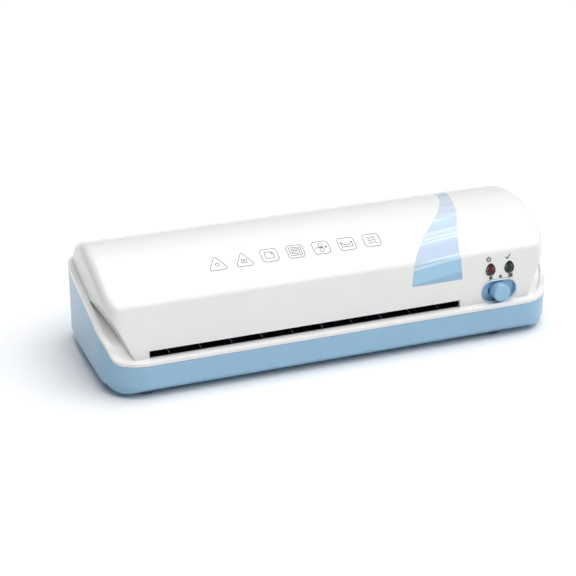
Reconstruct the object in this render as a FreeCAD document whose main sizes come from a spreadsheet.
"""A pouch laminator as a parametric document: two casing shells, a roller train and its drive.

Millimetres. +X is the machine's right, -Y is the feeding side, +Z is up.
The origin is on the table, under the middle of the machine.
"""
import FreeCAD, Part
import math
import os

V = FreeCAD.Vector
X_AXIS, Y_AXIS, Z_AXIS = V(1, 0, 0), V(0, 1, 0), V(0, 0, 1)
doc = FreeCAD.newDocument("pouch_laminator")

# ---------------------------------------------------------------- driving dimensions
SIZES = {
    # casing, outside
    "body_width": 343.0, "body_depth": 126.0, "bottom_level": 4.0, "wall": 2.5,
    "front_half": 168.6, "rear_half": 165.0, "widest_at": -15.0,
    "front_corner": 30.0, "rear_corner": 12.0,
    "hull_end_round": 11.0, "hull_front_round": 5.0,
    "plinth_top": 8.6, "plinth_step": 1.3,
    "parting_front": 24.6, "parting_mid": 49.5, "parting_rear": 55.0,
    "lip_front": 26.9, "lip_mid": 53.8, "lip_rear": 61.0, "lip_width": 3.4,
    "ledge_level": 25.2, "gutter_mid": 50.6, "gutter_rear": 56.8,
    "skirt": 3.0, "seam": 0.25,
    # the front face and the arched top
    "face_foot": -54.5, "crease_front": -50.3, "crease_level": 63.0, "crease_round": 8.0,
    "crown_back": 8.0, "crown_level": 86.0, "rear_shoulder": 59.0, "rear_shoulder_level": 66.0,
    "rear_face": 61.5, "top_edge_round": 7.0, "brow_round": 1.2,
    # the undercut at each end: three points of its plane
    "scoop_top_out": 165.1, "scoop_foot_out": 149.3, "scoop_back_out": 168.1,
    "scoop_back": 0.0, "scoop_back_level": 52.0,
    # feed path
    "feed_centre": -22.4, "slot_width": 233.3, "slot_low": 25.6, "slot_high": 31.2,
    "feed_level": 28.0, "rib_count": 10, "rib_pitch": 22.5, "rib_first": -124.3, "rib_thick": 0.9,
    # rollers and drive
    "roller_back": 12.0, "roller_radius": 9.85, "roller_length": 236.0, "nip_half": 10.0,
    "shaft_radius": 4.0, "core_clearance": 0.05, "plate_thick": 2.0,
    "left_plate": -147.0, "right_plate": 101.0, "bush_radius": 6.0,
    "gear_module": 1.0, "roller_teeth": 20, "pinion_teeth": 16, "gear_face": 6.0,
    "gear_start": 105.0, "backlash": 0.16,
    "motor_back_offset": 13.0, "motor_radius": 22.0, "motor_length": 18.0, "motor_start": 122.0,
    # control panel
    "switch_across": 126.0, "switch_level": 33.8, "recess_width": 27.7, "recess_height": 15.3,
    "recess_depth": 3.0, "knob_radius": 6.5, "knob_front": -59.4, "knob_travel": 4.5,
    "power_across": 119.2, "ready_across": 134.4, "lens_level": 50.6,
    "lens_width": 4.7, "lens_height": 6.8,
    # feet and screws
    "foot_left": -141.0, "foot_right": 124.0, "foot_front": -49.0, "foot_rear": 46.0,
    "foot_radius": 6.3, "screw_radius": 1.5,
}
sheet = doc.addObject("Spreadsheet::Sheet", "Sizes")
for row, (alias, value) in enumerate(SIZES.items(), start=1):
    sheet.set(f"A{row}", alias)
    sheet.set(f"B{row}", str(value))
    sheet.setAlias(f"B{row}", alias)
doc.recompute()


def size(alias):
    """The value of one cell of the sheet."""
    return float(sheet.get(alias))


# ---------------------------------------------------------------- helpers
def bind(obj, **formulas):
    """Tie properties of an object to formulas on the sheet's aliases."""
    for prop, formula in formulas.items():
        obj.setExpression(prop.replace("__", "."), formula)
    return obj


def formula(text):
    """Aliases in a formula get the sheet's name in front."""
    words = sorted(SIZES, key=len, reverse=True)
    out, i = "", 0
    while i < len(text):
        word = next((w for w in words if text.startswith(w, i)), None)
        if word:
            out += "Sizes." + word
            i += len(word)
        else:
            out += text[i]
            i += 1
    return out


def place(obj, at):
    """Put an object at three formulas."""
    for letter, text in zip("xyz", at):
        obj.setExpression("Placement.Base." + letter, formula(text))


def block(name, at, span):
    """A box from its lowest corner and its three lengths, all formulas."""
    obj = doc.addObject("Part::Box", name)
    bind(obj, Length=formula(span[0]), Width=formula(span[1]), Height=formula(span[2]))
    place(obj, at)
    return obj


TURN = {"x": FreeCAD.Rotation(Y_AXIS, 90), "y": FreeCAD.Rotation(X_AXIS, -90),
        "z": FreeCAD.Rotation(Z_AXIS, 0)}


def rod(name, along, at, radius, length):
    """A cylinder along x, y or z from the centre of its first face."""
    obj = doc.addObject("Part::Cylinder", name)
    bind(obj, Radius=formula(radius), Height=formula(length))
    obj.Placement = FreeCAD.Placement(V(), TURN[along])
    place(obj, at)
    return obj


def join(name, *pieces):
    """Several objects made one solid."""
    obj = doc.addObject("Part::MultiFuse", name)
    obj.Shapes = list(pieces)
    obj.Refine = True
    return obj


def carve(name, base, *tools):
    """Tools taken out of a base."""
    tool = tools[0]
    if len(tools) > 1:
        tool = doc.addObject("Part::MultiFuse", name + "_tools")
        tool.Shapes = list(tools)
    obj = doc.addObject("Part::Cut", name)
    obj.Base, obj.Tool = base, tool
    return obj


def solid(name, shape):
    """A shape that no single feature makes, kept as an object."""
    obj = doc.addObject("Part::Feature", name)
    obj.Shape = shape
    return obj


NODES = []


def node(name, obj):
    """Name a finished sub-part."""
    obj.Label = name
    NODES.append(obj)
    return obj


def group(name, shapes):
    """Several equal separate solids in one sub-part."""
    return node(name, solid(name + "_set", Part.makeCompound(shapes)))


def cylinder(radius, length, at, axis=Z_AXIS):
    return Part.makeCylinder(radius, length, V(*at), axis)


def box(low, high):
    span = [b - a for a, b in zip(low, high)]
    return Part.makeBox(*span, V(*low))


# ---------------------------------------------------------------- casing envelope
W2, D2 = size("body_width") / 2, size("body_depth") / 2
FLOOR, WALL, LIP = size("bottom_level"), size("wall"), size("lip_width")
FAR = 400.0


def plan_prism(inset, low, high):
    """The outline seen from above, drawn in by an inset, as an upright prism."""
    front, rear = size("front_half") - inset, size("rear_half") - inset
    mid, deep, widest = W2 - inset, D2 - inset, size("widest_at")
    corners = [V(-front, -deep, low), V(front, -deep, low), V(rear, deep, low), V(-rear, deep, low)]
    edges = [
        Part.LineSegment(corners[0], corners[1]), Part.Arc(corners[1], V(mid, widest, low), corners[2]),
        Part.LineSegment(corners[2], corners[3]), Part.Arc(corners[3], V(-mid, widest, low), corners[0]),
    ]
    prism = Part.Face(Part.Wire([e.toShape() for e in edges])).extrude(V(0, 0, high - low))
    for radius, sign in ((size("front_corner"), -1), (size("rear_corner"), 1)):
        if radius > inset + 0.5:
            uprights = [e for e in prism.Edges if e.BoundBox.ZLength > high - low - 0.01
                        and e.BoundBox.XLength < 0.01 and e.BoundBox.YMin * sign > deep - 0.01]
            prism = prism.makeFillet(radius - inset, uprights)
    return prism


def side_line(front, mid, rear, drop=0.0):
    """A line along the casing's side: level across the front, then a curve that flattens to the rear."""
    start, middle, steps = -D2 + 5.0, -20.0, 12
    run = D2 - start
    power = math.log(1 - (mid - front) / (rear - front)) / math.log(1 - (middle - start) / run)
    points = []
    for i in range(steps + 1):
        t = i / steps
        ease = min(1.0, t / 0.1) ** 0.5
        level = front + (rear - front) * (1 - (1 - t) ** power) * ease
        points.append(V(-FAR / 2, start + run * t, level - drop))
    curve = Part.BSplineCurve()
    curve.interpolate(Points=points, InitialTangent=V(0, 1, 0), FinalTangent=V(0, 1, 0.02))
    return curve, points


def below(front, mid, rear, drop=0.0):
    """All the space under a side line, across the whole width."""
    low = -20.0
    curve, points = side_line(front, mid, rear, drop)
    a, b = points[0], points[-1]
    a_out, b_out = a + V(0, -25, 0), b + V(0, 20, 0)
    a_low, b_low = V(a_out.x, a_out.y, low), V(b_out.x, b_out.y, low)
    lines = [(a_low, a_out), (a_out, a), (b, b_out), (b_out, b_low), (b_low, a_low)]
    edges = [Part.LineSegment(p, q).toShape() for p, q in lines]
    edges.insert(2, curve.toShape())
    return Part.Face(Part.Wire(edges)).extrude(V(FAR, 0, 0))


def bottom_edges(body, level, long_way):
    """The straight edges of a box's bottom that run one way."""
    return [e for e in body.Edges if e.BoundBox.ZMax < level + 0.01
            and getattr(e.BoundBox, long_way) > 60]


def hull(inset):
    """The bottom of the casing seen from the front and from the side, rounded up at its edges."""
    low, high = (-W2 + inset, -D2 + inset, FLOOR + inset), (W2 - inset, D2 - inset, 120)
    ends = box(low, high)
    ends = ends.makeFillet(size("hull_end_round") - inset, bottom_edges(ends, low[2], "YLength"))
    sides = box(low, high)
    sides = sides.makeFillet(size("hull_front_round") - inset / 2, bottom_edges(sides, low[2], "XLength"))
    return ends.common(sides)


def arched_profile(inset):
    """Front face, soft crease, arched top and rear face as one outline, extruded across."""
    x = -FAR / 2
    foot_z, foot_y = size("ledge_level"), size("face_foot")
    lean = (size("crease_front") - foot_y) / (size("crease_level") - foot_z)
    foot = V(x, foot_y - lean * (foot_z - FLOOR), FLOOR)
    crease = V(x, size("crease_front"), size("crease_level"))
    crown = V(x, size("crown_back"), size("crown_level"))
    shoulder = V(x, size("rear_shoulder"), size("rear_shoulder_level"))
    rear_foot = V(x, size("rear_face"), FLOOR)
    rear_top = V(x, size("rear_face"), size("rear_shoulder_level") - 6)
    edges = [
        Part.LineSegment(foot, crease).toShape(), Part.Arc(crease, crown, shoulder).toShape(),
        Part.LineSegment(shoulder, rear_top).toShape(), Part.LineSegment(rear_top, rear_foot).toShape(),
        Part.LineSegment(rear_foot, foot).toShape(),
    ]
    wire = Part.Wire(edges)
    if inset:
        wire = wire.makeOffset2D(-inset, 2)
        if wire.BoundBox.YLength > 2 * D2:
            raise ValueError("the profile grew")
    body = Part.Face(wire).extrude(V(FAR, 0, 0))
    rounding = size("crease_round") - inset / 2
    picked = [e for e in body.Edges if e.BoundBox.XLength > FAR - 1 and e.BoundBox.ZMin > 40]
    return body.makeFillet(rounding, picked)


def scoop_side(sign, inset):
    """All the space inside the slanted undercut at one end of the arched body."""
    a = V(sign * size("scoop_top_out"), size("crease_front"), size("crease_level") - 1)
    b = V(sign * size("scoop_foot_out"), size("face_foot"), size("ledge_level"))
    c = V(sign * size("scoop_back_out"), size("scoop_back"), size("scoop_back_level"))
    normal = (b - a).cross(c - a).normalize()
    if normal.x * sign < 0:
        normal = normal * -1
    origin = a - normal * (inset + FAR)
    turn = FreeCAD.Rotation(Z_AXIS, normal)
    slab = Part.makeBox(2 * FAR, 2 * FAR, FAR, V(-FAR, -FAR, 0))
    slab.Placement = FreeCAD.Placement(origin, turn)
    return slab


def top_boundary(body):
    """The edges where the arched top and the face end: both ends and the rear, not the crease."""
    picked = []
    for e in body.Edges:
        b = e.BoundBox
        end = b.XMin * b.XMax > 0 and b.YLength > 0.3 and b.ZMax > 20
        rear = b.XLength > D2 and b.YMin > 50 and b.ZMin > 50
        if end or rear:
            picked.append(e)
    return picked


def brow(body):
    """The edge over each undercut, where it meets the end wall."""
    return [e for e in body.Edges if e.BoundBox.YLength > 60 and e.BoundBox.ZMax < 70
            and 15 < e.BoundBox.ZMin and 0.01 < e.BoundBox.XLength < 30]


def arched_body(inset):
    """The upper body: the plan inside the lip, the arched profile and the two undercuts."""
    body = plan_prism(LIP + inset, FLOOR + inset, 100).common(arched_profile(inset)).removeSplitter()
    if not inset:
        body = body.makeFillet(size("top_edge_round"), top_boundary(body))
    for sign in (-1, 1):
        body = body.common(scoop_side(sign, inset))
    if not inset:
        body = body.makeFillet(size("brow_round"), brow(body))
    return body


def envelope(inset):
    """The whole casing's outside, or with an inset its inside."""
    ledge = (size("ledge_level"), size("gutter_mid"), size("gutter_rear"))
    bowl = plan_prism(inset, FLOOR + inset, 60).common(below(*ledge, inset))
    full = bowl.fuse(arched_body(inset))
    if not inset:
        lip = plan_prism(0, FLOOR, 60).cut(plan_prism(LIP, FLOOR - 1, 61))
        lip = lip.common(below(size("lip_front"), size("lip_mid"), size("lip_rear")))
        full = full.fuse(lip)
    return full.common(hull(inset)).removeSplitter()


outside = envelope(0.0)
inside = envelope(WALL)
print("outside", round(outside.Volume), "inside", round(inside.Volume), outside.isValid(), inside.isValid())
shell = outside.cut(inside)
parting = (size("parting_front"), size("parting_mid"), size("parting_rear"))
under_parting = below(*parting)
under_seam = below(*parting, size("seam"))
skirt_room = plan_prism(WALL + 0.4, 0, 60).cut(below(*parting, size("skirt")))
skirt_clear = plan_prism(WALL, 0, 60).cut(below(*parting, size("skirt") + 0.3))
cover_shape = shell.cut(under_parting).fuse(shell.common(under_parting).common(skirt_room)).removeSplitter()
base_shape = shell.common(under_seam).cut(skirt_clear)
low_slice = outside.common(box((-W2, -D2, 0), (W2, D2, size("plinth_top"))))
step = size("plinth_step")
plinth = low_slice
for shift in (V(step, 0, 0), V(-step, 0, 0), V(0, step, 0), V(0, -step, 0)):
    plinth = plinth.common(low_slice.translated(shift))
base_shape = base_shape.cut(low_slice.cut(plinth))
for label, half in (("cover", cover_shape), ("base", base_shape)):
    print(label, [round(one.Volume) for one in half.Solids])


# ---------------------------------------------------------------- openings and bosses of the casing
LEAN = (size("crease_front") - size("face_foot")) / (size("crease_level") - size("ledge_level"))
FEED_X, SLOT_HALF = size("feed_centre"), size("slot_width") / 2
SLOT_LOW, SLOT_HIGH = size("slot_low"), size("slot_high")
SWITCH_X, SWITCH_Z = size("switch_across"), size("switch_level")
LENS_Z = size("lens_level")
LENSES = {"power": size("power_across"), "ready": size("ready_across")}
SCREW = size("screw_radius")
FEED_LOW, FEED_HIGH = FEED_X - SLOT_HALF, FEED_X + SLOT_HALF


def face_depth(level):
    """How far forward the front face is at a level."""
    return size("face_foot") + LEAN * (level - size("ledge_level"))


def obround(width, height, thick, at):
    """A slab with round ends, standing in the XZ plane, its front face at a point's depth."""
    x, y, z = at
    r = height / 2
    reach = width / 2 - r
    slab = box((x - reach, y, z - r), (x + reach, y + thick, z + r))
    for side in (-1, 1):
        slab = slab.fuse(Part.makeCylinder(r, thick, V(x + side * reach, y, z), Y_AXIS))
    return slab.removeSplitter()


def egg(width, height, thick, at):
    """An egg-shaped slab, narrow end up, standing in the XZ plane."""
    x, y, z = at
    low_r, high_r = width / 2, width / 3.4
    low_z, high_z = z - height / 2 + low_r, z + height / 2 - high_r
    tilt = math.asin((low_r - high_r) / (high_z - low_z))
    c, s = math.cos(tilt), math.sin(tilt)
    low_shoulder, high_shoulder = low_z + low_r * s, high_z + high_r * s
    low = [V(x + low_r * c, y, low_shoulder), V(x, y, low_z - low_r), V(x - low_r * c, y, low_shoulder)]
    high = [V(x - high_r * c, y, high_shoulder), V(x, y, high_z + high_r),
            V(x + high_r * c, y, high_shoulder)]
    edges = [Part.Arc(*low), Part.LineSegment(low[2], high[0]),
             Part.Arc(*high), Part.LineSegment(high[2], low[0])]
    return Part.Face(Part.Wire([e.toShape() for e in edges])).extrude(V(0, thick, 0))


FOOT_DEPTHS = (size("foot_front"), size("foot_rear"))
FEET = [(x, y) for x in (size("foot_left"), size("foot_right")) for y in FOOT_DEPTHS]
CASE_SCREWS = [(x, y) for x in (-153.0, 153.0) for y in (-22.0, 38.0)]
FRAME_SCREWS = [(x, y) for x in (-140.0, 94.0) for y in (-10.0, 34.0)]
BOARD_SCREWS = [(113.0, -35.0), (143.0, -35.0), (113.0, -12.0), (143.0, -12.0)]
POST, BASE_POST_TOP = 4.0, 20.0
BOARD_LEVEL, BOARD_THICK = 12.0, 1.6
RECESS_W, RECESS_H, RECESS_D = size("recess_width"), size("recess_height"), size("recess_depth")
RECESS_Y = face_depth(SWITCH_Z)
GLAND = (108.0, 18.0, 5.2)
BRACKET_SCREWS = [(117.4, 46.0), (139.0, 46.0)]
LENS_FIT = 0.2

# cover: feeding slot, switch recess, lens holes, screw posts hanging from the top
slot = box((FEED_LOW, size("face_foot") - 4, SLOT_LOW), (FEED_HIGH, size("face_foot") + 8, SLOT_HIGH))
cover_cuts = [slot, obround(RECESS_W + 2.4, RECESS_H + 2.4, 12, (SWITCH_X, RECESS_Y - 6, SWITCH_Z))]
for x in LENSES.values():
    hole = (size("lens_width") + LENS_FIT, size("lens_height") + LENS_FIT)
    cover_cuts.append(egg(*hole, 12, (x, face_depth(LENS_Z) - 6, LENS_Z)))
posts = []
for x, y in CASE_SCREWS:
    post = cylinder(POST, 70, (x, y, BASE_POST_TOP + 0.2)).common(inside)
    posts.append(post.cut(cylinder(SCREW - 0.1, 14, (x, y, BASE_POST_TOP))))
VENT_HALF, VENT_LOW, VENT_HIGH, VENT_PITCH = 1.0, 38.0, 48.0, 8
vents = [box((x - VENT_HALF, D2 - 8, VENT_LOW), (x + VENT_HALF, D2 + 2, VENT_HIGH))
         for x in range(-120, 121, VENT_PITCH)]
cover_solid = cover_shape
for post in posts:
    cover_solid = cover_solid.fuse(post)
cover_solid = cover_solid.cut(Part.makeCompound(cover_cuts))
node("top_cover", solid("cover", cover_solid))

# base: floor posts, foot pockets, exit slot, cord gland hole, floor vents
exit_cut = box((FEED_LOW, D2 - 10, SLOT_LOW - 0.4), (FEED_HIGH, D2 + 4, SLOT_HIGH + 0.4))
base_cuts = [exit_cut, cylinder(GLAND[2], 20, (GLAND[0], D2 - 12, GLAND[1]), Y_AXIS)]
base_posts = []
for x, y in CASE_SCREWS:
    base_posts.append(cylinder(POST, BASE_POST_TOP - FLOOR - 0.5, (x, y, FLOOR + 0.5)))
    base_cuts += [cylinder(SCREW + 0.2, 40, (x, y, 0)), cylinder(SCREW + 1.3, 6.6, (x, y, 0))]
for x, y in FRAME_SCREWS + BRACKET_SCREWS:
    base_posts.append(cylinder(POST, 5.0, (x, y, FLOOR + 0.5)))
    base_cuts.append(cylinder(SCREW - 0.1, 6.0, (x, y, FLOOR + 2.0)))
for x, y in BOARD_SCREWS:
    base_posts.append(cylinder(3.0, BOARD_LEVEL - FLOOR - 0.5, (x, y, FLOOR + 0.5)))
    base_cuts.append(cylinder(SCREW - 0.3, 6.0, (x, y, BOARD_LEVEL - 6)))
for x, y in FEET:
    base_cuts.append(cylinder(size("foot_radius"), 1.0, (x, y, FLOOR - 0.01)))
floor_vents = [box((x - 1.5, y, FLOOR - 1), (x + 1.5, y + 22, FLOOR + 5))
               for x in range(-100, 71, 10) for y in (-34, 12)]
base_solid = base_shape
for post in base_posts:
    base_solid = base_solid.fuse(post)
base_solid = base_solid.cut(Part.makeCompound(base_cuts + floor_vents + vents))
base_solid = max(base_solid.Solids, key=lambda one: one.Volume)
node("base_casing", solid("base", base_solid))

feet = []
for x, y in FEET:
    foot = cylinder(size("foot_radius") - 0.1, FLOOR + 0.98, (x, y, 0))
    feet.append(foot.makeFillet(1.0, [e for e in foot.Edges if e.BoundBox.ZMax < 0.01]))
group("rubber_feet", feet)


def screw(at, length, axis=Z_AXIS, head_radius=2.6, head_thick=1.8, radius=None):
    """A pan-head screw from the head's free face."""
    r = (radius or SCREW) - 0.12
    start = V(*at)
    body = Part.makeCylinder(head_radius, head_thick, start, axis)
    body = body.fuse(Part.makeCylinder(r, length, start + axis * (head_thick - 0.01), axis))
    cross = box((-head_radius * 0.6, -0.3, -1), (head_radius * 0.6, 0.3, 0.7))
    cross = cross.fuse(box((-0.3, -head_radius * 0.6, -1), (0.3, head_radius * 0.6, 0.7)))
    cross.Placement = FreeCAD.Placement(start, FreeCAD.Rotation(Z_AXIS, axis))
    return body.cut(cross).removeSplitter()


group("casing_screws", [screw((x, y, 4.6), 24.0) for x, y in CASE_SCREWS])
# ---------------------------------------------------------------- control panel
TRAVEL, TRAY_WALL, TRAY_FLANGE, STEM_SLOT = size("knob_travel"), 1.0, 2.7, 5.2
TRAY_THICK = 1.6
tray_front, tray_floor = RECESS_Y + 0.3, RECESS_Y + RECESS_D
tray = obround(RECESS_W + 2 * TRAY_WALL, RECESS_H + 2 * TRAY_WALL, tray_floor + TRAY_THICK - tray_front,
               (SWITCH_X, tray_front, SWITCH_Z))
tray = tray.fuse(obround(RECESS_W + 2 * TRAY_FLANGE, RECESS_H + 2 * TRAY_FLANGE, 1.0,
                         (SWITCH_X, RECESS_Y + 3.85, SWITCH_Z)))
tray = tray.cut(obround(RECESS_W, RECESS_H, RECESS_D, (SWITCH_X, tray_front - 0.3, SWITCH_Z)))
tray = tray.cut(obround(STEM_SLOT + 2 * TRAVEL + 1.2, STEM_SLOT, 6, (SWITCH_X, tray_floor - 1, SWITCH_Z)))
node("switch_tray", solid("tray", tray.removeSplitter()))

knob_radius, knob_front = size("knob_radius"), size("knob_front")
knob = cylinder(knob_radius, tray_floor - 0.4 - knob_front, (SWITCH_X, knob_front, SWITCH_Z), Y_AXIS)
knob = knob.makeFillet(0.8, [e for e in knob.Edges if e.BoundBox.YMax < knob_front + 0.01])
shutter_front = tray_floor + TRAY_THICK + 0.6
slider_front = shutter_front + 1.2
stem_end, stem_half, stem_low = slider_front + 3.0, 2.0, 1.8
stem = box((SWITCH_X - stem_half, tray_floor - 1, SWITCH_Z - stem_low),
           (SWITCH_X + stem_half, stem_end, SWITCH_Z + stem_low))
shutter_room = box((SWITCH_X - stem_half - 0.02, -60, SWITCH_Z - stem_low - 0.02),
                   (SWITCH_X + stem_half + 0.02, 0, SWITCH_Z + stem_low + 0.02))
node("mode_knob", solid("knob", knob.fuse(stem).removeSplitter()))
shutter = box((SWITCH_X - 13, shutter_front, SWITCH_Z - 5),
              (SWITCH_X + 13, shutter_front + 0.8, SWITCH_Z + 5))
node("knob_shutter", solid("shutter", shutter.cut(shutter_room)))

SLIDER_HALF = 4.2
slider = box((SWITCH_X - SLIDER_HALF, slider_front, SWITCH_Z - 3),
             (SWITCH_X + SLIDER_HALF, slider_front + 4.2, SWITCH_Z + 3))
node("switch_slider", solid("slider", slider.cut(shutter_room)))
BOARD_Y = slider_front + 4.2 + 0.4 + 4.0
housing = box((SWITCH_X - 12, slider_front + 0.9, SWITCH_Z - 5.5),
              (SWITCH_X + 12, BOARD_Y - 0.05, SWITCH_Z + 5.5))
reach = SLIDER_HALF + TRAVEL + 0.4
run = box((SWITCH_X - reach, slider_front - 1, SWITCH_Z - 3.3),
          (SWITCH_X + reach, slider_front + 4.2 + 0.4, SWITCH_Z + 3.3))
node("slide_switch_body", solid("switch_housing", housing.cut(run)))

LED_RADIUS = 1.5
for label, x in LENSES.items():
    front = face_depth(LENS_Z)
    lens = egg(size("lens_width"), size("lens_height"), 3.4, (x, front - 0.5, LENS_Z))
    lens = lens.fuse(egg(size("lens_width") + 1.6, size("lens_height") + 1.2, 1.0, (x, front + 2.9, LENS_Z)))
    node(label + "_lens", solid(label + "_light_cap", lens.removeSplitter()))
    dome_at = [f"{label}_across", f"{front + 4.2:.3f}", "lens_level"]
    led = rod(label + "_dome", "y", dome_at, str(LED_RADIUS), "5")
    rim = rod(label + "_rim", "y", [f"{label}_across", f"{front + 8.4:.3f}", "lens_level"], "1.9", "1")
    legs = [block(f"{label}_leg_{i}",
                  [f"{label}_across + {s} - 0.25", f"{front + 9.3:.3f}", "lens_level - 0.25"],
                  ["0.5", f"{BOARD_Y - front - 9.4:.3f}", "0.5"]) for i, s in enumerate((-0.9, 0.9))]
    node(label + "_led", join(label + "_lamp", led, rim, *legs))

posts_y = [(x, z) for x in (SWITCH_X - 16.5, SWITCH_X + 16.5) for z in (47.0, 57.0)]
group("panel_board_screws", [
    screw((x, BOARD_Y + 1.6 + 1.4, z), 8.0, V(0, -1, 0), 2.0, 1.35, 1.2) for x, z in posts_y])
panel_posts = []
for x, z in posts_y:
    root = face_depth(z) + 1
    post = cylinder(2.6, BOARD_Y - 0.05 - root, (x, root, z), Y_AXIS)
    panel_posts.append(post.cut(cylinder(1.2, 9, (x, BOARD_Y - 9, z), Y_AXIS)))
board = block("panel_plate", ["switch_across - 19", f"{BOARD_Y:.3f}", "27"], ["38", "1.6", "34"])
holes = [rod(f"panel_hole_{i}", "y", [f"{x}", f"{BOARD_Y - 1:.3f}", f"{z}"], "screw_radius", "4")
         for i, (x, z) in enumerate(posts_y)]
node("panel_board", carve("drilled_panel_board", board, *holes))
cover_part = NODES[0]
with_posts = cover_part.Shape
for post in panel_posts:
    with_posts = with_posts.fuse(post)
cover_part.Shape = with_posts

# ---------------------------------------------------------------- feed path
FEED, RIBS = size("feed_level"), int(size("rib_count"))
ROLLER_Y, NIP = size("roller_back"), size("nip_half")
LEFT_PLATE, RIGHT_PLATE, PLATE = size("left_plate"), size("right_plate"), size("plate_thick")


def guide(name, side, front, rear, low, high, tabs):
    """A flat guide with its row of thin ribs; side is -1 under the film and 1 over it."""
    gap = 1.0
    floor = SLOT_LOW - 0.6 if side < 0 else SLOT_HIGH + 0.6
    sheet_low, sheet_high = (floor - 2.0, floor) if side < 0 else (floor, floor + 2.0)
    x0, x1 = FEED_LOW - 1.5, FEED_HIGH + 1.5
    body = box((x0, front, sheet_low), (x1, rear, sheet_high))
    for i in range(RIBS):
        x = size("rib_first") + i * size("rib_pitch")
        z0, z1 = (sheet_high - 0.5, FEED - gap) if side < 0 else (FEED + gap, sheet_low + 0.5)
        half = size("rib_thick") / 2
        body = body.fuse(box((x - half, front, z0), (x + half, rear, z1)))
    for x in (x0, x1 - 3):
        body = body.fuse(box((x, tabs[0], low), (x + 3, tabs[1], high)))
    return node(name, solid(name + "_body", body.removeSplitter()))


GUIDE_FRONT, GUIDE_REAR = size("face_foot") + WALL + 0.6, -31.0
guide("entry_guide_lower", -1, GUIDE_FRONT, GUIDE_REAR, FLOOR + WALL + 0.1, 24.0, (-49, -33))
guide("entry_guide_upper", 1, GUIDE_FRONT + 0.6, GUIDE_REAR, 31.5, 38.0, (-48, -33))
guide("exit_guide_lower", -1, 24.5, D2 - WALL - 0.8, FLOOR + WALL + 0.1, 24.0, (44, 57))
guide("exit_guide_upper", 1, 24.5, D2 - WALL - 0.8, 31.5, 38.0, (44, 58))

plate_low = FLOOR + 6.0
BUSH = size("bush_radius")
for side, x in (("left", LEFT_PLATE), ("right", RIGHT_PLATE)):
    inner = 1 if side == "left" else -1
    plate = box((x, -16, plate_low), (x + PLATE, 40, 52))
    screw_x = FRAME_SCREWS[0][0] if side == "left" else FRAME_SCREWS[2][0]
    flange_low, flange_high = sorted((x + PLATE / 2, x + PLATE / 2 + inner * 11))
    for y0, y1 in ((-16, -0.5), (24.5, 40)):
        plate = plate.fuse(box((flange_low, y0, plate_low), (flange_high, y1, plate_low + PLATE)))
    cuts = [Part.makeCylinder(BUSH, 10, V(x - 4, ROLLER_Y, FEED - NIP), X_AXIS)]
    cuts.append(box((x - 4, ROLLER_Y - BUSH - 0.1, FEED + 1.6), (x + 6, ROLLER_Y + BUSH + 0.1, 49)))
    cuts += [Part.makeCylinder(2.0, 10, V(x - 4, y, 46), X_AXIS) for y in (-10, 34)]
    cuts += [cylinder(SCREW + 0.2, 8, (screw_x, y, plate_low - 2)) for y in (-10, 34)]
    plate = plate.cut(Part.makeCompound(cuts)).removeSplitter()
    node(side + "_side_plate", solid(side + "_plate", plate))
HEAD_THICK = 1.85
group("frame_screws",
      [screw((x, y, plate_low + PLATE + HEAD_THICK), 5.4, V(0, 0, -1)) for x, y in FRAME_SCREWS])
bar_start, bar_end = LEFT_PLATE - 1.5, RIGHT_PLATE + PLATE + 1.5
between = RIGHT_PLATE - LEFT_PLATE - PLATE - 0.1
bars = []
for y in (-10, 34):
    thin_bar = cylinder(1.95, bar_end - bar_start, (bar_start, y, 46), X_AXIS)
    bars.append(thin_bar.fuse(cylinder(3.2, between, (LEFT_PLATE + PLATE + 0.05, y, 46), X_AXIS)))
group("tie_bars", bars)

# ---------------------------------------------------------------- rollers
SHAFT = size("shaft_radius")
GEAR_START, GEAR_FACE = size("gear_start"), size("gear_face")
PINION_START = GEAR_START + GEAR_FACE + 1.5
LEVELS = {"lower": FEED - NIP, "upper": FEED + NIP}
lower_end, upper_end = PINION_START + GEAR_FACE + 1.6, GEAR_START + GEAR_FACE + 1.0
for name, level, end in (("lower", LEVELS["lower"], lower_end), ("upper", LEVELS["upper"], upper_end)):
    start = LEFT_PLATE - 4.5
    shaft = Part.makeCylinder(SHAFT, end - start, V(start, ROLLER_Y, level), X_AXIS)
    shaft = shaft.makeChamfer(0.4, shaft.Edges[:1] + [e for e in shaft.Edges if e.BoundBox.XLength < 0.01])
    groove = Part.makeCylinder(SHAFT + 1, 0.9, V(start + 1.2, ROLLER_Y, level), X_AXIS)
    groove = groove.cut(Part.makeCylinder(SHAFT - 0.6, 0.9, V(start + 1.2, ROLLER_Y, level), X_AXIS))
    flat = box((GEAR_START - 0.5, ROLLER_Y - 6, level + SHAFT - 0.7),
               (end + 1, ROLLER_Y + 6, level + SHAFT + 2))
    node(name + "_roller_shaft", solid(name + "_axle", shaft.cut(groove).cut(flat)))
    axis_level = "feed_level " + ("-" if name == "lower" else "+") + " nip_half"
    sleeve = rod(name + "_rubber", "x", ["feed_centre - roller_length / 2", "roller_back", axis_level],
                 "roller_radius", "roller_length")
    bore = rod(name + "_bore", "x", ["feed_centre - roller_length / 2 - 1", "roller_back", axis_level],
               "shaft_radius", "roller_length + 2")
    node(name + "_roller_sleeve", carve(name + "_cover", sleeve, bore))


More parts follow.
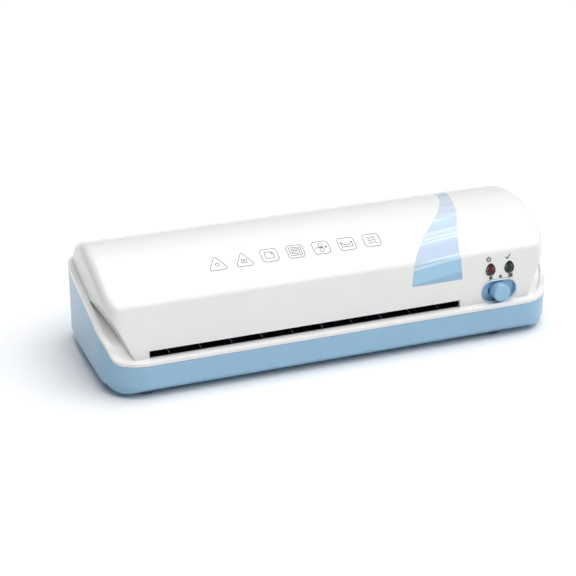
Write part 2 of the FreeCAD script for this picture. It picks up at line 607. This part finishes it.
def bush(x, level, flat_sides):
    """A flanged plastic bush in a side plate; x is the plate's outer face, flange towards the rollers."""
    r = size("bush_radius")
    body = Part.makeCylinder(r - 0.05, PLATE + 1.2, V(x - 0.6, ROLLER_Y, level), X_AXIS)
    flange_x = x + PLATE + 0.1 if x < 0 else x - 1.4
    body = body.fuse(Part.makeCylinder(r + 1.6, 1.3, V(flange_x, ROLLER_Y, level), X_AXIS))
    if flat_sides:
        top, flat = level + r + 0.4, r - 0.2
        body = body.fuse(box((x - 0.6, ROLLER_Y - flat, level - 4), (x + PLATE + 0.6, ROLLER_Y + flat, top)))
        body = body.common(box((x - 9, ROLLER_Y - 20, level - 20), (x + 9, ROLLER_Y + 20, top)))
    bore = Part.makeCylinder(SHAFT + size("core_clearance"), 12, V(x - 5, ROLLER_Y, level), X_AXIS)
    return body.cut(bore).removeSplitter()


group("lower_bushes", [bush(x, LEVELS["lower"], False) for x in (LEFT_PLATE, RIGHT_PLATE)])
group("upper_bushes", [bush(x, LEVELS["upper"], True) for x in (LEFT_PLATE, RIGHT_PLATE)])

clips = []
for level in LEVELS.values():
    ring = Part.makeCylinder(SHAFT + 2.0, 0.7, V(LEFT_PLATE - 3.2, ROLLER_Y, level), X_AXIS)
    ring = ring.cut(Part.makeCylinder(SHAFT - 0.55, 0.7, V(LEFT_PLATE - 3.2, ROLLER_Y, level), X_AXIS))
    ring = ring.cut(box((LEFT_PLATE - 4, ROLLER_Y - 2.2, level - 8), (LEFT_PLATE - 2, ROLLER_Y + 2.2, level)))
    clips.append(ring)
node("lower_retaining_clip", solid("lower_clip", clips[0]))
node("upper_retaining_clip", solid("upper_clip", clips[1]))

SPRING_LOW, SPRING_TOP = LEVELS["upper"] + size("bush_radius") + 0.45, 49.0
for side, x in (("left", LEFT_PLATE), ("right", RIGHT_PLATE)):
    wire_r, coil_r = 0.4, 2.1
    length = SPRING_TOP - SPRING_LOW - 2 * wire_r - 0.1
    turns = 3
    helix = Part.makeHelix(length / turns, length, coil_r)
    profile = Part.Wire([Part.makeCircle(wire_r, V(coil_r, 0, 0), V(0, 1, 0))])
    coil = Part.Wire(helix.Edges).makePipeShell([profile], True, True)
    coil.translate(V(x + PLATE / 2, ROLLER_Y, SPRING_LOW + wire_r + 0.05))
    node(side + "_pressure_spring", solid(side + "_spring", coil))

# ---------------------------------------------------------------- gears
def gear(teeth, width, at, phase, bore):
    """An involute spur gear along x; phase is the angle of one tooth from +Y towards +Z."""
    m = size("gear_module")
    pitch, base_r = m * teeth / 2, m * teeth / 2 * math.cos(math.radians(20))
    tip, root = pitch + m, pitch - 1.25 * m
    half_tooth = math.pi / (2 * teeth) - size("backlash") / 4 / pitch
    inv = lambda r: math.sqrt(max((r / base_r) ** 2 - 1, 0)) - math.acos(min(base_r / r, 1.0))
    radii = [max(root, base_r) + (tip - max(root, base_r)) * k / 4 for k in range(5)]
    points = []
    for tooth in range(teeth):
        middle = phase + tooth * 2 * math.pi / teeth
        flank = [(r, half_tooth + inv(pitch) - inv(r)) for r in radii]
        foot = [(root, flank[0][1] + 0.02)]
        left = [(r, middle - a) for r, a in foot + flank]
        right = [(r, middle + a) for r, a in reversed(foot + flank)]
        points += left + right
    ring = [V(0, r * math.cos(a), r * math.sin(a)) for r, a in points]
    outline = Part.makePolygon(ring + [ring[0]])
    body = Part.Face(outline).extrude(V(width, 0, 0))
    body = body.cut(Part.makeCylinder(bore, width, V(0, 0, 0), X_AXIS))
    body.translate(V(*at))
    return body


ROLLER_TEETH, PINION_TEETH = int(size("roller_teeth")), int(size("pinion_teeth"))
PITCH_LOWER, PITCH_PINION = ROLLER_TEETH / 2, PINION_TEETH / 2
CENTRES = PITCH_LOWER + PITCH_PINION
upward = math.radians(90)
lower_face = PINION_START + GEAR_FACE - GEAR_START
lower_gear = gear(ROLLER_TEETH, lower_face, (GEAR_START, ROLLER_Y, LEVELS["lower"]), upward, SHAFT + 0.02)
node("lower_roller_gear", solid("lower_wheel", lower_gear))
upper_phase = upward + math.pi + math.pi / ROLLER_TEETH
upper_at = (GEAR_START, ROLLER_Y, LEVELS["upper"])
upper_gear = gear(ROLLER_TEETH, GEAR_FACE, upper_at, upper_phase, SHAFT + 0.02)
node("upper_roller_gear", solid("upper_wheel", upper_gear))

rise = math.acos(size("motor_back_offset") / CENTRES)
MOTOR_Y, MOTOR_Z = ROLLER_Y + size("motor_back_offset"), LEVELS["lower"] + CENTRES * math.sin(rise)
half_pitch = math.pi * size("gear_module") / 2
pinion_phase = rise + math.pi + (half_pitch - (upward - rise) * PITCH_LOWER) / PITCH_PINION
MOTOR_SHAFT = 3.0
pinion = gear(PINION_TEETH, GEAR_FACE, (PINION_START, MOTOR_Y, MOTOR_Z), pinion_phase, MOTOR_SHAFT + 0.02)
node("motor_gear", solid("pinion", pinion))
MOTOR_X = size("motor_start")
axle_start = PINION_START - 0.5
motor_axle = cylinder(MOTOR_SHAFT, MOTOR_X + 2 - axle_start, (axle_start, MOTOR_Y, MOTOR_Z), X_AXIS)
node("motor_shaft", solid("motor_axle", motor_axle))
can = cylinder(size("motor_radius"), size("motor_length"), (MOTOR_X, MOTOR_Y, MOTOR_Z), X_AXIS)
far_rim = [e for e in can.Edges if e.BoundBox.XLength < 0.01 and e.BoundBox.XMin > MOTOR_X + 1]
can = can.makeFillet(1.5, far_rim)
can = can.cut(Part.makeCylinder(MOTOR_SHAFT + 0.06, 3, V(MOTOR_X, MOTOR_Y, MOTOR_Z), X_AXIS))
ears = box((MOTOR_X, MOTOR_Y - 29, MOTOR_Z - 4), (MOTOR_X + 1.2, MOTOR_Y + 29, MOTOR_Z + 4))
ears = ears.cut(Part.makeCylinder(10, 3, V(MOTOR_X - 1, MOTOR_Y, MOTOR_Z), X_AXIS))
EAR_SCREWS = [(MOTOR_Y - 26, MOTOR_Z), (MOTOR_Y + 26, MOTOR_Z)]
ears = ears.cut(Part.makeCompound([cylinder(1.7, 6, (MOTOR_X - 2, y, z), X_AXIS) for y, z in EAR_SCREWS]))
node("drive_motor", solid("motor_can", can.fuse(ears).removeSplitter()))
bracket = box((MOTOR_X - 1.5, MOTOR_Y - 30, plate_low), (MOTOR_X - 0.05, MOTOR_Y + 30, MOTOR_Z + 6))
bracket = bracket.fuse(box((MOTOR_X - 11, 42, plate_low), (MOTOR_X - 0.05, 50, plate_low + 1.5)))
bracket = bracket.fuse(box((MOTOR_X - 1.5, 42, plate_low), (MOTOR_X + 22, 50, plate_low + 1.5)))
holes = [Part.makeCylinder(7, 6, V(MOTOR_X - 3, MOTOR_Y, MOTOR_Z), X_AXIS)]
holes += [cylinder(SCREW - 0.1, 6, (MOTOR_X - 3, y, z), X_AXIS) for y, z in EAR_SCREWS]
holes += [cylinder(SCREW + 0.2, 8, (x, y, plate_low - 2)) for x, y in BRACKET_SCREWS]
bracket = bracket.cut(Part.makeCompound(holes))
bracket = bracket.cut(can)
node("motor_bracket", solid("bracket", bracket.removeSplitter()))
ear_screws = [screw((MOTOR_X + 1.2 + HEAD_THICK, y, z), 3.4, V(-1, 0, 0)) for y, z in EAR_SCREWS]
foot_screws = [screw((x, y, plate_low + 1.5 + HEAD_THICK), 5.5, V(0, 0, -1)) for x, y in BRACKET_SCREWS]
group("motor_screws", ear_screws + foot_screws)

# ---------------------------------------------------------------- heaters
PLATE_FRONT, PLATE_REAR = -30.0, 0.5
for name, low in (("lower", FEED - 1.2 - 6.0), ("upper", FEED + 1.2)):
    x0, x1 = FEED_LOW + 1, FEED_HIGH - 1
    body = box((x0, PLATE_FRONT, low), (x1, PLATE_REAR, low + 6.0))
    lead = [e for e in body.Edges if e.BoundBox.XLength > 100 and e.BoundBox.YMax < PLATE_FRONT + 0.1
            and abs(e.BoundBox.ZMin - (low + 6 if name == "lower" else low)) < 0.1]
    node(name + "_heater_plate", solid(name + "_hot_plate", body.makeChamfer(2.0, lead)))
    element_low = low - 3.05 if name == "lower" else low + 6.05
    block_name = name + "_heating_element"
    strip = block(block_name + "_strip", [f"{x0 + 8}", f"{PLATE_FRONT + 6}", f"{element_low}"],
                  [f"{x1 - x0 - 16}", "18", "3"])
    tab = block(block_name + "_tab", [f"{x1 - 8.1}", f"{PLATE_FRONT + 12}", f"{element_low + 1}"],
                ["6", "6", "0.8"])
    node(block_name, join(block_name + "_pair", strip, tab))
element_top = FEED + 1.2 + 9.1
supports = []
hot = [NODES[-4].Shape, NODES[-2].Shape]
support_ends = ((LEFT_PLATE + PLATE + 0.05, FEED_LOW + 5.0, 1), (FEED_HIGH - 5.0, RIGHT_PLATE - 0.05, -1))
for x0, x1, gap in support_ends:
    end_block = box((x0, PLATE_FRONT + 4, FEED - 9.5), (x1, PLATE_REAR - 2.5, FEED + 9.5))
    way = (x0 + 4, x1 + 1) if gap > 0 else (x0 - 1, x1 - 4)
    end_block = end_block.cut(box((way[0], PLATE_FRONT, FEED - 1.2), (way[1], PLATE_REAR, FEED + 1.2)))
    for tab_level in (FEED - 10.0, FEED + 7.0):
        tab_low = (FEED_HIGH - 12, PLATE_FRONT + 11, tab_level)
        end_block = end_block.cut(box(tab_low, (FEED_HIGH + 1, PLATE_FRONT + 19, tab_level + 3)))
    supports.append(end_block.cut(hot[0]).cut(hot[1]))
group("heater_supports", supports)
THERMOSTAT_X, THERMOSTAT_Y = 20.0, PLATE_FRONT + 8
thermostat = cylinder(7, 4.5, (THERMOSTAT_X, THERMOSTAT_Y, element_top + 0.05))
thermostat = thermostat.fuse(cylinder(5, 4, (THERMOSTAT_X, THERMOSTAT_Y, element_top + 4.5)))
for x in (THERMOSTAT_X - 3, THERMOSTAT_X + 3):
    blade_low = (x - 0.4, THERMOSTAT_Y - 2.5, element_top + 8)
    thermostat = thermostat.fuse(box(blade_low, (x + 0.4, THERMOSTAT_Y + 2.5, element_top + 14)))
node("thermostat", solid("thermostat_body", thermostat.removeSplitter()))
fuse_z = element_top + 2.1
fuse_body = Part.makeCylinder(2.0, 12, V(-40, PLATE_FRONT + 15, fuse_z), X_AXIS)
fuse_body = fuse_body.fuse(Part.makeCylinder(0.4, 32, V(-50, PLATE_FRONT + 15, fuse_z), X_AXIS))
node("thermal_fuse", solid("fuse", fuse_body.removeSplitter()))

# ---------------------------------------------------------------- electrics
board = block("board_plate", ["108", "-40", f"{BOARD_LEVEL}"], ["40", "32.9", f"{BOARD_THICK}"])
holes = [rod(f"board_hole_{i}", "z", [f"{x}", f"{y}", f"{BOARD_LEVEL - 1}"], "screw_radius", "4")
         for i, (x, y) in enumerate(BOARD_SCREWS)]
node("control_board", carve("drilled_board", board, *holes))
head_top = BOARD_LEVEL + BOARD_THICK + 1.4
group("board_screws", [screw((x, y, head_top), 6.0, V(0, 0, -1), 2.2, 1.35, 1.25) for x, y in BOARD_SCREWS])
top = BOARD_LEVEL + BOARD_THICK + 0.05
parts = [box((128, -27, top), (141, -17, top + 11)), box((112, -30, top), (118, -15, top + 7))]
node("terminal_block", solid("terminals", parts[1].cut(Part.makeCompound([
    Part.makeCylinder(1.2, 4, V(115, y, top + 4), Z_AXIS) for y in (-27, -22.5, -18)]))))
relay_uprights = [e for e in parts[0].Edges if e.BoundBox.ZLength > 9]
node("power_relay", solid("relay", parts[0].makeFillet(0.5, relay_uprights)))
gland_x, gland_z, gland_r = GLAND
gland = Part.makeCylinder(gland_r - 0.05, 9, V(gland_x, D2 - 9.0, gland_z), Y_AXIS)
gland = gland.fuse(Part.makeCylinder(gland_r + 1.6, 1.8, V(gland_x, D2 - WALL - 1.9, gland_z), Y_AXIS))
gland = gland.cut(Part.makeCylinder(3.3, 20, V(gland_x, D2 - 14, gland_z), Y_AXIS))
node("cord_gland", solid("gland", gland.removeSplitter()))

# ---------------------------------------------------------------- check and write
doc.recompute()
problems = [o.Name for o in doc.Objects if "Invalid" in o.State or "Error" in o.State]
if problems:
    raise RuntimeError(f"failed objects: {problems}")
os.makedirs("parts", exist_ok=True)
for part in NODES:
    shape = part.Shape
    if shape.isNull() or not shape.isValid():
        raise RuntimeError(f"bad shape: {part.Label}")
    shape.exportStep(os.path.join("parts", part.Label + ".step"))
    extent = shape.BoundBox
    print(f"{part.Label:24s} solids {len(shape.Solids)} volume {shape.Volume:10.0f}",
          f"x {extent.XMin:.1f}..{extent.XMax:.1f} y {extent.YMin:.1f}..{extent.YMax:.1f}",
          f"z {extent.ZMin:.1f}..{extent.ZMax:.1f}")
print(len(NODES), "sub-parts")
